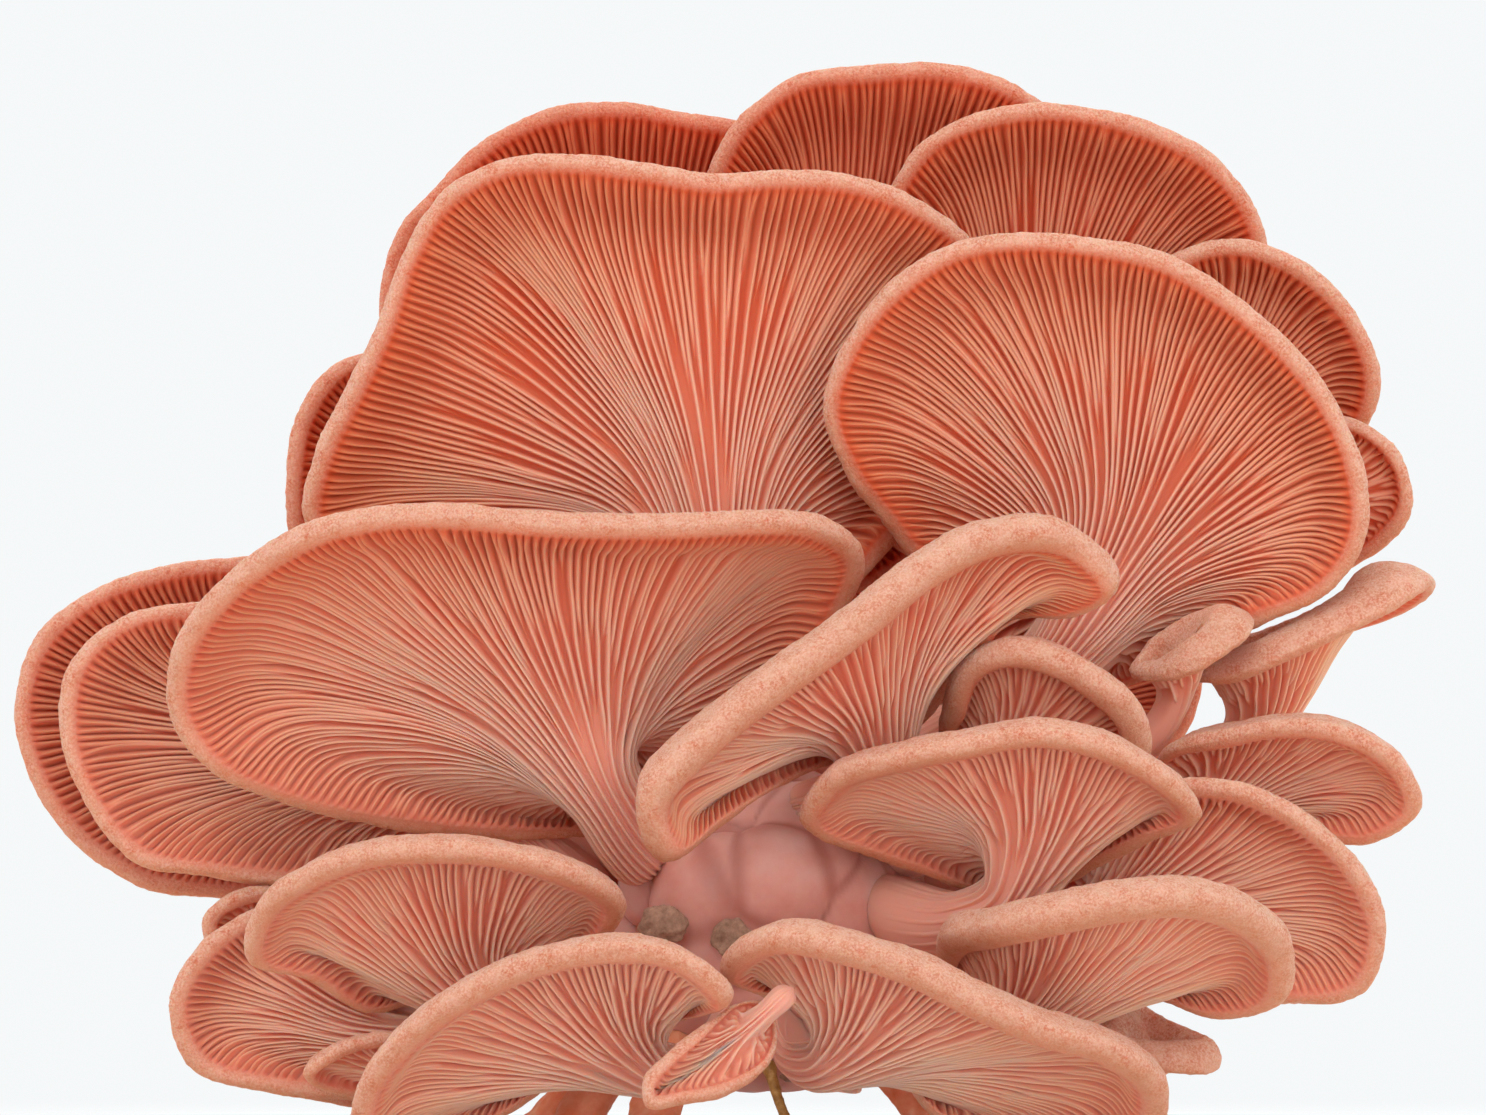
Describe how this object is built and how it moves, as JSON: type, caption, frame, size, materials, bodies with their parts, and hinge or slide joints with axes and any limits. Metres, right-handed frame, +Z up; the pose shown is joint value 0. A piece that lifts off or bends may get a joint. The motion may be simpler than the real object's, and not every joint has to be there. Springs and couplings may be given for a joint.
{
  "type": "oyster mushroom cluster",
  "caption": "Cluster of pink oyster mushrooms: overlapping fan-shaped gilled caps with rolled felted rims, opening upwards from a fused base that stands on cut stems.",
  "frame": {"origin": "the middle of the bounding box, on the ground plane under the cut stems", "axes": "+X to the right across the cluster seen from its gilled front, +Y from that front to the back, +Z up"},
  "size_m": [0.1892, 0.1014, 0.1473],
  "materials": {
    "mushroom": "soft fresh mushroom flesh, salmon pink, gilled on one side and felted on the other",
    "pale_flesh": "smooth matt mushroom flesh, pale pink",
    "straw": "dry straw",
    "bed": "damp crumbs of the growing bed"
  },
  "bodies": {
    "root": {"bed_crumb_left": "bed", "bed_crumb_low": "bed", "bed_crumb_middle": "bed", "cap_back_left": "mushroom", "cap_back_low_right": "mushroom", "cap_back_right": "mushroom", "cap_back_upper_left": "mushroom", "cap_crown_left": "mushroom", "cap_crown_middle": "mushroom", "cap_crown_right": "mushroom", "cap_front_left": "mushroom", "cap_front_low_left": "mushroom", "cap_front_low_right": "mushroom", "cap_front_right": "mushroom", "cap_front_small": "mushroom", "cap_left_button": "mushroom", "cap_left_great": "mushroom", "cap_left_inner": "mushroom", "cap_left_lip": "mushroom", "cap_left_low": "mushroom", "cap_left_lowest": "mushroom", "cap_left_outer": "mushroom", "cap_left_shoulder": "mushroom", "cap_middle_curled": "mushroom", "cap_middle_right": "mushroom", "cap_middle_slanted": "mushroom", "cap_right_fan": "mushroom", "cap_right_great": "mushroom", "cap_right_hooded": "mushroom", "cap_right_low": "mushroom", "cap_right_lowest": "mushroom", "cap_right_shoulder": "mushroom", "cap_right_small": "mushroom", "cap_right_tan": "mushroom", "cap_upper_left": "mushroom", "cut_stem_back_left": "mushroom", "cut_stem_back_right": "mushroom", "cut_stem_front": "mushroom", "cut_stem_front_left": "mushroom", "cut_stem_front_right": "mushroom", "fused_base": "pale_flesh", "straw_stalk": "straw"}
  },
  "joints": []
}
